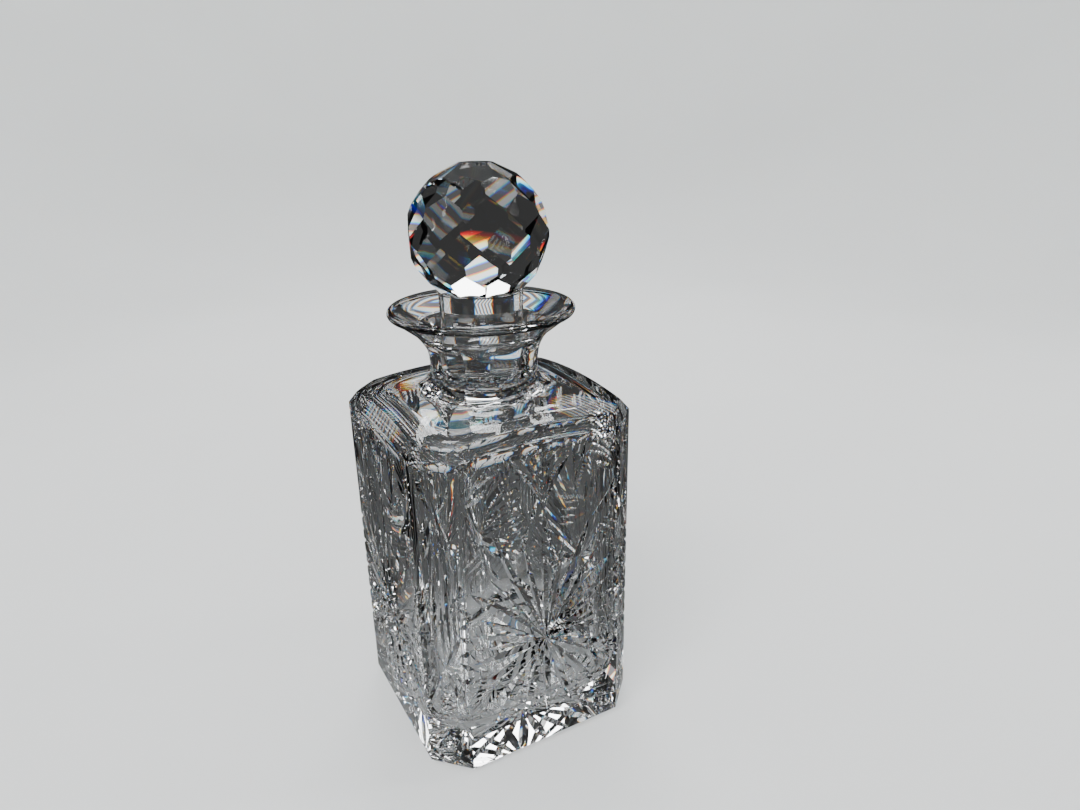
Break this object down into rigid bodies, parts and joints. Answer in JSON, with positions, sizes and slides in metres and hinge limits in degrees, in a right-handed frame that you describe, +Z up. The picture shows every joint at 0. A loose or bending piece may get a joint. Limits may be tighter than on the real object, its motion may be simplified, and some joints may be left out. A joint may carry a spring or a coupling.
{
  "type": "cut crystal decanter",
  "caption": "Square cut-glass decanter with chamfered corners, star-cut panels, a flared neck and a lift-out faceted ball stopper.",
  "frame": {"origin": "centre of the flat foot, where the decanter stands", "axes": "+Z up along the neck; the four panels face -Y, +X, +Y and -X"},
  "size_m": [0.094, 0.094, 0.2307],
  "materials": {
    "body_glass": "polished cut lead crystal",
    "stopper_glass": "polished facets, fine-ground peg"
  },
  "bodies": {
    "decanter": {"decanter_body": "body_glass"},
    "stopper_body": {"stopper": "stopper_glass"}
  },
  "joints": [
    {"name": "stopper_lift", "type": "slide", "parent": "decanter", "child": "stopper_body", "axis": [0, 0, 1], "range_m": [0, 0.048]}
  ]
}
